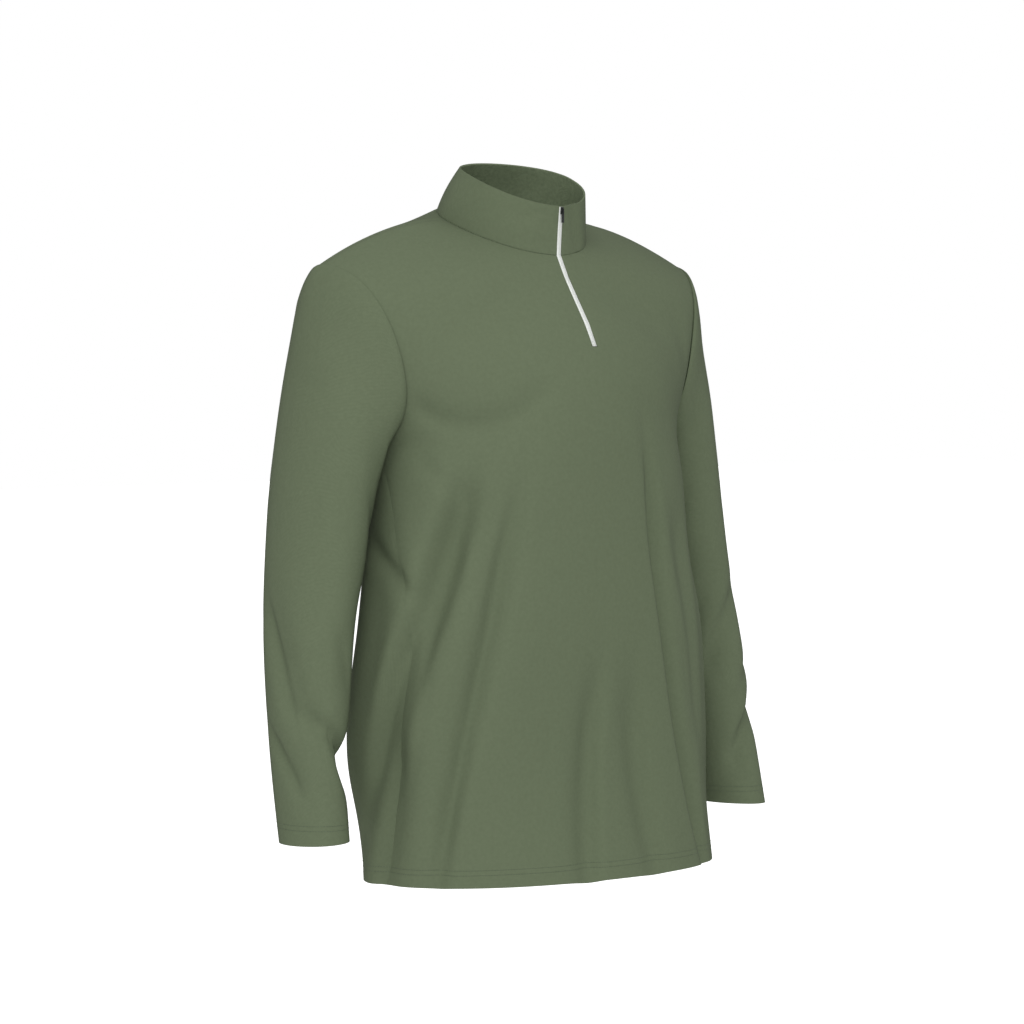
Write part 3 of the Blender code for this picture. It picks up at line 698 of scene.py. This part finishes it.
def make_knit_group():
    """Puts out how high each loop stands, and a soft mottle. Both run from 0 to 1."""
    group = bpy.data.node_groups.new("knit loops", "ShaderNodeTree")
    socket = group.interface.new_socket
    socket("Columns per metre", in_out="INPUT", socket_type="NodeSocketFloat")
    socket("Rows per metre", in_out="INPUT", socket_type="NodeSocketFloat")
    socket("Loops", in_out="OUTPUT", socket_type="NodeSocketFloat")
    socket("Mottle", in_out="OUTPUT", socket_type="NodeSocketFloat")
    start = group.nodes.new("NodeGroupInput")
    end = group.nodes.new("NodeGroupOutput")
    uv = group.nodes.new("ShaderNodeUVMap")
    uv.uv_map = "cloth"
    split = group.nodes.new("ShaderNodeSeparateXYZ")
    group.links.new(uv.outputs[0], split.inputs[0])
    column = group_math(group, "MULTIPLY", split.outputs[0], start.outputs[0])
    row = group_math(group, "MULTIPLY", split.outputs[1], start.outputs[1])
    part = group_math(group, "FRACT", column)
    side = group_math(group, "ABSOLUTE", group_math(group, "SUBTRACT", part, 0.5))
    side = group_math(group, "MULTIPLY", side, 2.0)
    slant = group_math(group, "MULTIPLY_ADD", side, THREAD_SLANT, row)
    thread = group_math(group, "SINE", group_math(group, "MULTIPLY", slant, 2 * math.pi))
    thread = group_math(group, "MULTIPLY_ADD", thread, 0.5, 0.5)
    rib = group_math(group, "SUBTRACT", 1.0, group_math(group, "MULTIPLY", side, side))
    loops = group_math(group, "MULTIPLY", rib, group_math(group, "MULTIPLY_ADD", thread, 0.5, 0.5))
    group.links.new(loops, end.inputs["Loops"])
    place = group.nodes.new("ShaderNodeTexCoord")
    noise = group.nodes.new("ShaderNodeTexNoise")
    noise.inputs["Scale"].default_value = MOTTLE_SCALE
    noise.inputs["Detail"].default_value = 3.0
    group.links.new(place.outputs["Object"], noise.inputs["Vector"])
    group.links.new(noise.outputs["Fac"], end.inputs["Mottle"])
    return group


knit_loops = make_knit_group()
print("knit group of", len(knit_loops.nodes), "nodes")

# %% [markdown]
# ## Jersey
# Dyed knit is matt: it scatters light and hardly shines. The deeper green lies between the
# loops. Where the cloth turns away from the eye, Layer Weight scales its colour down: painted
# shade along the outline. The wall's inner faces have a second material in a paler green:
# painted light, which lifts the shade seen inside the collar.

# %% Jersey material
COLUMNS = 1500.0
ROWS = 1700.0
LOOP_SHARE = 0.35
LOOP_HEIGHT = 0.15 * MM
# Layer Weight's facing, from where the painted shade at the outline begins to where it is full.
PAINTED_RIM_SHADE_FACING = (0.55, 0.95)
GREEN = (0.131, 0.162, 0.098, 1.0)
GREEN_DEEP = (0.109, 0.136, 0.081, 1.0)
# Paler green of the cloth's inner faces: painted light, which lifts the shade inside the collar.
GREEN_INSIDE_PAINTED_LIGHT = (0.250, 0.310, 0.190, 1.0)


def make_jersey(name, face, valley, painted_rim_shade):
    """The knit in two greens, with painted shade: its colour is scaled down where it turns away."""
    made = bpy.data.materials.new(name)
    made.use_nodes = True
    tree = made.node_tree
    shader = tree.nodes["Principled BSDF"]
    shader.inputs["Roughness"].default_value = 0.9
    shader.inputs["Specular IOR Level"].default_value = 0.12
    knit = tree.nodes.new("ShaderNodeGroup")
    knit.node_tree = knit_loops
    knit.inputs["Columns per metre"].default_value = COLUMNS
    knit.inputs["Rows per metre"].default_value = ROWS
    shade = tree.nodes.new("ShaderNodeMath")
    shade.operation = "MULTIPLY_ADD"
    tree.links.new(knit.outputs["Loops"], shade.inputs[0])
    shade.inputs[1].default_value = LOOP_SHARE
    tree.links.new(knit.outputs["Mottle"], shade.inputs[2])
    colour = tree.nodes.new("ShaderNodeMix")
    colour.data_type = "RGBA"
    colour.inputs["A"].default_value = valley
    colour.inputs["B"].default_value = face
    tree.links.new(shade.outputs[0], colour.inputs["Factor"])
    # Painted shade: Layer Weight scales the colour down where the cloth turns away from the eye.
    edge = tree.nodes.new("ShaderNodeLayerWeight")
    edge.inputs["Blend"].default_value = 0.5
    turned = tree.nodes.new("ShaderNodeMapRange")
    turned.interpolation_type = "SMOOTHSTEP"
    turned.inputs["From Min"].default_value = PAINTED_RIM_SHADE_FACING[0]
    turned.inputs["From Max"].default_value = PAINTED_RIM_SHADE_FACING[1]
    turned.inputs["To Min"].default_value = 1.0
    turned.inputs["To Max"].default_value = painted_rim_shade
    tree.links.new(edge.outputs["Facing"], turned.inputs["Value"])
    deeper = tree.nodes.new("ShaderNodeVectorMath")
    deeper.operation = "SCALE"
    tree.links.new(colour.outputs["Result"], deeper.inputs[0])
    tree.links.new(turned.outputs["Result"], deeper.inputs["Scale"])
    tree.links.new(deeper.outputs["Vector"], shader.inputs["Base Color"])
    bump = tree.nodes.new("ShaderNodeBump")
    bump.inputs["Strength"].default_value = 0.35
    bump.inputs["Distance"].default_value = LOOP_HEIGHT
    tree.links.new(knit.outputs["Loops"], bump.inputs["Height"])
    tree.links.new(bump.outputs[0], shader.inputs["Normal"])
    made.diffuse_color = face
    return made


# The outer faces: their colour falls to 0.80 at the outline, as painted shade.
jersey = make_jersey("jersey", GREEN, GREEN_DEEP, 0.80)
# Inner faces in a paler green: painted light, with no painted shade at the outline.
lining = make_jersey("jersey_inside_painted_light", GREEN_INSIDE_PAINTED_LIGHT, GREEN, 1.0)
for cloth in (front, back, sleeve_right, sleeve_left, collar):
    cloth.data.materials.clear()
    cloth.data.materials.append(jersey)
    cloth.data.materials.append(lining)
    cloth.modifiers["cloth thickness"].material_offset = 1
print("jersey outside, and its paler inside, on 5 pieces")

# %% [markdown]
# ## Twin stitching
# The hem and the cuffs are turned up and held by two parallel rows of stitches. Each stitch is
# a small bead of thread lying on the cloth. One bead is modelled, and then copied along a line
# that a cutting plane draws on the panel, so that the row follows every fold.

# %% Places for stitches along a line
def stitch_places(chain, pitch, lift):
    """A turning and moving matrix for each stitch, its length along the line."""
    places = []
    travelled = 0.0
    wanted = pitch / 2
    for (start, normal), (end, _) in zip(chain, chain[1:]):
        step = end - start
        length = step.length
        while length > 0 and wanted <= travelled + length:
            along = step.normalized()
            out = (normal - along * normal.dot(along)).normalized()
            side = out.cross(along)
            turn = Matrix((along, side, out)).transposed().to_4x4()
            point = start + step * ((wanted - travelled) / length) + out * lift
            places.append(Matrix.Translation(point) @ turn)
            wanted += pitch
        travelled += length
    return places


# %% Copy one small shape to many places
def repeat(pattern, places, name, surface):
    """One object of many copies of a small bmesh. The pattern is freed."""
    small = bpy.data.meshes.new(name + " pattern")
    pattern.to_mesh(small)
    pattern.free()
    whole = bmesh.new()
    for place in places:
        before = len(whole.verts)
        whole.from_mesh(small)
        whole.verts.ensure_lookup_table()
        bmesh.ops.transform(whole, matrix=place, verts=whole.verts[before:])
    bpy.data.meshes.remove(small)
    piece = piece_from(whole, name)
    piece.data.materials.append(surface)
    print(name, len(places), "copies")
    return piece


# %% One stitch
BEAD = Vector((1.15, 0.26, 0.22)) * MM


def stitch_bead():
    """One stitch: a slim rounded bead along X."""
    bead = bmesh.new()
    bmesh.ops.create_uvsphere(bead, u_segments=6, v_segments=5, radius=1.0)
    bmesh.ops.rotate(bead, cent=(0, 0, 0), matrix=Matrix.Rotation(math.pi / 2, 3, "Y"),
                     verts=bead.verts)
    bmesh.ops.scale(bead, vec=BEAD, verts=bead.verts)
    return bead


# %% [markdown]
# ## Two tones
# Thread, nylon and enamel are never quite one colour, and a plain one looks like plastic in
# close light. So a soft noise drifts between a darker and a lighter tone. Three materials use
# it, each with its own grain and colours, so it is built once, as a shader group.

# %% Shader group: two tones
def make_tones_group():
    """Puts out a colour between two tones, and how far it has drifted, from 0 to 1."""
    group = bpy.data.node_groups.new("two tones", "ShaderNodeTree")
    socket = group.interface.new_socket
    socket("Scale", in_out="INPUT", socket_type="NodeSocketFloat")
    socket("Darker", in_out="INPUT", socket_type="NodeSocketColor")
    socket("Lighter", in_out="INPUT", socket_type="NodeSocketColor")
    socket("Colour", in_out="OUTPUT", socket_type="NodeSocketColor")
    socket("Drift", in_out="OUTPUT", socket_type="NodeSocketFloat")
    start = group.nodes.new("NodeGroupInput")
    end = group.nodes.new("NodeGroupOutput")
    place = group.nodes.new("ShaderNodeTexCoord")
    noise = group.nodes.new("ShaderNodeTexNoise")
    colour = group.nodes.new("ShaderNodeMix")
    colour.data_type = "RGBA"
    group.links.new(place.outputs["Object"], noise.inputs["Vector"])
    group.links.new(start.outputs["Scale"], noise.inputs["Scale"])
    group.links.new(start.outputs["Darker"], colour.inputs["A"])
    group.links.new(start.outputs["Lighter"], colour.inputs["B"])
    group.links.new(noise.outputs["Fac"], colour.inputs["Factor"])
    group.links.new(colour.outputs["Result"], end.inputs["Colour"])
    group.links.new(noise.outputs["Fac"], end.inputs["Drift"])
    return group


tones_group = make_tones_group()
print("two tones group of", len(tones_group.nodes), "nodes")


# %% A material in two tones
def in_two_tones(name, scale, darker, lighter):
    """A new material, its shader, and its two tones node linked to the colour."""
    made = bpy.data.materials.new(name)
    made.use_nodes = True
    tree = made.node_tree
    shader = tree.nodes["Principled BSDF"]
    tones = tree.nodes.new("ShaderNodeGroup")
    tones.node_tree = tones_group
    tones.inputs["Scale"].default_value = scale
    tones.inputs["Darker"].default_value = darker
    tones.inputs["Lighter"].default_value = lighter
    tree.links.new(tones.outputs["Colour"], shader.inputs["Base Color"])
    return made, shader, tones


# %% Thread material
def make_thread():
    """Twisted polyester thread, a little deeper than the cloth."""
    made, shader, _ = in_two_tones(
        "thread", scale=1800.0,
        darker=(0.060, 0.082, 0.048, 1.0), lighter=(0.085, 0.112, 0.068, 1.0))
    shader.inputs["Roughness"].default_value = 0.6
    return made


thread = make_thread()

# %% Sew the hem and the cuffs
STITCH = 3.0 * MM
STITCH_LIFT = 0.05 * MM
ROWS_UP = (13 * MM, 18 * MM)


def sew(pieces, height, name):
    """Twin rows of stitches on some pieces, at two heights above their lower edge."""
    places = []
    for piece in pieces:
        for up in ROWS_UP:
            for chain in cut_line(piece, height + up):
                places += stitch_places(chain, STITCH, STITCH_LIFT)
    return repeat(stitch_bead(), places, name, thread)


hem_stitches = sew((front, back), HEM, "hem_stitches")
cuff_stitches = sew((sleeve_right, sleeve_left), CUFF, "cuff_stitches")

# %% [markdown]
# ## The zip
# A closed nylon zip is two woven tapes whose coils lock together down the middle. The cloth is
# cut open for it, and both edges of the slit are turned in along the tape.

# %% The zip's line
BAND_FACES = (0, -0.8, 0.6)
BAND_EDGE = 2 * MM


def middle_of_band():
    """Points up the middle of the band's face, read from its left edge."""
    band = outer_side("zip_tape", BAND_FACES)
    points = [vert.co.copy() for vert in band.verts if vert.co.x > BAND_EDGE]
    band.free()
    points.sort(key=lambda point: point.z)
    for point in points:
        point.x = 0.0
    return points


zip_line = middle_of_band()
print("zip line of", len(zip_line), "points, from", round(zip_line[0].z, 4),
      "to", round(zip_line[-1].z, 4))


# %% Tapes
TAPE_HALF = 3.0 * MM
TAPE_EDGE = 0.45 * MM
EDGE_SUNK = 0.9 * MM
TAPE_THICK = 0.9 * MM


def make_tape():
    """The two tapes as one ribbon, its outer edges sunk below the cloth."""
    ribbon = bmesh.new()
    last = None
    for point in zip_line:
        here = ribbon.verts.new(point + Vector((-TAPE_HALF, 0, 0)))
        if last:
            ribbon.edges.new((last, here))
        last = here
    strip = ribbon.edges[:]
    for width in (TAPE_EDGE, 2 * (TAPE_HALF - TAPE_EDGE), TAPE_EDGE):
        made = bmesh.ops.extrude_edge_only(ribbon, edges=strip)["geom"]
        fresh = [item for item in made if isinstance(item, bmesh.types.BMVert)]
        bmesh.ops.translate(ribbon, vec=(width, 0, 0), verts=fresh)
        strip = [edge for edge in made if isinstance(edge, bmesh.types.BMEdge)
                 and all(vert in fresh for vert in edge.verts)]
    outer = [vert for vert in ribbon.verts if abs(vert.co.x) > TAPE_HALF - TAPE_EDGE / 2]
    bmesh.ops.translate(ribbon, vec=(0, EDGE_SUNK, 0), verts=outer)
    bmesh.ops.recalc_face_normals(ribbon, faces=ribbon.faces)
    if sum((face.normal for face in ribbon.faces), Vector()).y > 0:
        bmesh.ops.reverse_faces(ribbon, faces=ribbon.faces)
    tape = piece_from(ribbon, "zip_tapes")
    wall = tape.modifiers.new("tape thickness", "SOLIDIFY")
    wall.thickness = TAPE_THICK
    wall.offset = -1.0
    return tape


tapes = make_tape()
print("tape", 2 * TAPE_HALF, "m wide,", len(tapes.data.polygons), "faces")

# %% Coil
COIL_PITCH = 0.85 * MM
COIL_LIFT = 0.25 * MM
COIL_SIDE = 0.55 * MM
TOOTH = Vector((0.75, 2.1, 0.6)) * MM
TOOTH_ROUND = 0.2 * MM


def coil_tooth():
    """One turn of the coil, seen from outside: a rounded bar across the zip."""
    tooth = bmesh.new()
    bmesh.ops.create_cube(tooth, size=1.0)
    bmesh.ops.scale(tooth, vec=TOOTH, verts=tooth.verts)
    bmesh.ops.bevel(tooth, geom=tooth.edges[:], offset=TOOTH_ROUND, offset_type="OFFSET",
                    affect="EDGES", segments=1, profile=0.5, material=-1)
    return tooth


def coil_places():
    """Turns of the coil, left and right of the middle by turns."""
    out = [(point, Vector((0, -1, 0))) for point in zip_line]
    turns = stitch_places(out, COIL_PITCH, COIL_LIFT)
    places = []
    for index, place in enumerate(turns):
        side = 1 if index % 2 else -1
        places.append(place @ Matrix.Translation((0, side * COIL_SIDE, 0)))
    return places


# %% White nylon
def make_nylon():
    """Plain white nylon, for the tapes and the coil."""
    made, shader, _ = in_two_tones(
        "white nylon", scale=900.0,
        darker=(0.70, 0.72, 0.69, 1.0), lighter=(0.84, 0.86, 0.83, 1.0))
    shader.inputs["Roughness"].default_value = 0.45
    return made


nylon = make_nylon()
tapes.data.materials.append(nylon)
coil = repeat(coil_tooth(), coil_places(), "zip_coil", nylon)

# %% [markdown]
# ## The slider and its pull
# Both are small castings in zinc, coated dark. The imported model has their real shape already,
# with the bridge and the pull's window, so they keep their meshes and only get a finish.

# %% Slider and pull
ENAMEL_ROUGHNESS = (0.28, 0.5)


def make_enamel():
    """Dark enamel over metal, duller where it is lighter."""
    made, shader, tones = in_two_tones(
        "dark enamel", scale=700.0,
        darker=(0.010, 0.012, 0.011, 1.0), lighter=(0.032, 0.036, 0.034, 1.0))
    tree = made.node_tree
    shader.inputs["Metallic"].default_value = 0.6
    shader.inputs["Coat Weight"].default_value = 0.3
    rough = tree.nodes.new("ShaderNodeMapRange")
    rough.inputs["To Min"].default_value = ENAMEL_ROUGHNESS[0]
    rough.inputs["To Max"].default_value = ENAMEL_ROUGHNESS[1]
    tree.links.new(tones.outputs["Drift"], rough.inputs["Value"])
    tree.links.new(rough.outputs["Result"], shader.inputs["Roughness"])
    return made


enamel = make_enamel()
for node in ("zip_slider", "zip_pull"):
    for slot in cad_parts[node].material_slots:
        slot.material = enamel
    print(node, "in", enamel.name)

# %% [markdown]
# ## Which piece stands for which node
# Each cloth replaces its solid and rides on the garment's body. The table also gives how large
# each was cut, in metres and square metres, for the layer that shows.

CUTS = [
    # piece, node, cut width, cut length, cut area
    (front, "front", 0.56, 0.72, 0.335),
    (back, "back", 0.60, 0.76, 0.392),
    (sleeve_right, "sleeve_right", 0.42, 0.62, 0.166),
    (sleeve_left, "sleeve_left", 0.42, 0.62, 0.166),
    (collar, "collar", 0.47, 0.07, 0.027),
]
for cloth, node, width, length, area in CUTS:
    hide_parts(node)
    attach(cloth, "garment")

for trim, slot_name in ((hem_stitches, "jersey"), (cuff_stitches, "jersey"),
                        (tapes, "zip_tape"), (coil, "zip_tape")):
    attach(trim, "garment")
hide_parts("zip_tape")

# %% [markdown]
# ## Light and floor
# The top is lit like a catalogue picture: large soft lights before it and above it, and
# light from all round, so the folds stay low in contrast. The floor and the room are drawn
# nearly white, whatever light they give, so each has one strength that the camera sees and
# another that lights the top.

# %% What the camera sees, and what gives light
def only_seen(tree, socket, seen, unseen):
    """Sets a strength that the camera sees, and another that lights the top."""
    path = tree.nodes.new("ShaderNodeLightPath")
    choose = tree.nodes.new("ShaderNodeMapRange")
    choose.inputs["To Min"].default_value = unseen
    choose.inputs["To Max"].default_value = seen
    tree.links.new(path.outputs["Is Camera Ray"], choose.inputs["Value"])
    tree.links.new(choose.outputs["Result"], socket)


# %% Floor and room
FLOOR_HALF = 14.0
FLOOR_HEIGHT = -1.05
FLOOR_SEEN = 0.75
AMBIENT = 0.70


def make_floor():
    """A plain pale floor, well below the top, which hangs in the air."""
    sheet = bmesh.new()
    bmesh.ops.create_grid(sheet, x_segments=1, y_segments=1, size=FLOOR_HALF)
    bmesh.ops.translate(sheet, vec=(0, 0, FLOOR_HEIGHT), verts=sheet.verts)
    floor = piece_from(sheet, "floor")
    paint = bpy.data.materials.new("pale floor")
    paint.use_nodes = True
    shader = paint.node_tree.nodes["Principled BSDF"]
    shader.inputs["Base Color"].default_value = (0.8, 0.8, 0.8, 1.0)
    shader.inputs["Roughness"].default_value = 1.0
    shader.inputs["Specular IOR Level"].default_value = 0.0
    shader.inputs["Emission Color"].default_value = (1.0, 1.0, 1.0, 1.0)
    only_seen(paint.node_tree, shader.inputs["Emission Strength"], FLOOR_SEEN, 0.0)
    floor.data.materials.append(paint)
    return floor


floor = make_floor()
world = bpy.data.worlds.new("studio")
bpy.context.scene.world = world
world.use_nodes = True
room = world.node_tree.nodes["Background"]
room.inputs["Color"].default_value = (1.0, 1.0, 1.0, 1.0)
only_seen(world.node_tree, room.inputs["Strength"], 1.0, AMBIENT)
print(floor.name, "at", FLOOR_HEIGHT, "m, light from all round", AMBIENT)


# %% Soft lights
def add_light(name, place, target, size, power):
    """A round soft light. Its size is in metres, and its power in watts."""
    data = bpy.data.lights.new(name, "AREA")
    data.shape = "DISK"
    data.size = size
    data.energy = power
    light = bpy.data.objects.new(name, data)
    light.location = place
    light.rotation_euler = (Vector(target) - Vector(place)).to_track_quat("-Z", "Y").to_euler()
    bpy.context.scene.collection.objects.link(light)
    print(name, power, "W")


add_light("front light", (-2.10, -3.05, 0.45), (0, 0, -0.33), 1.6, 33)
add_light("top light", (-1.40, -1.75, 2.90), (0, 0, -0.25), 2.4, 37)
bpy.context.scene.view_settings.view_transform = "Standard"
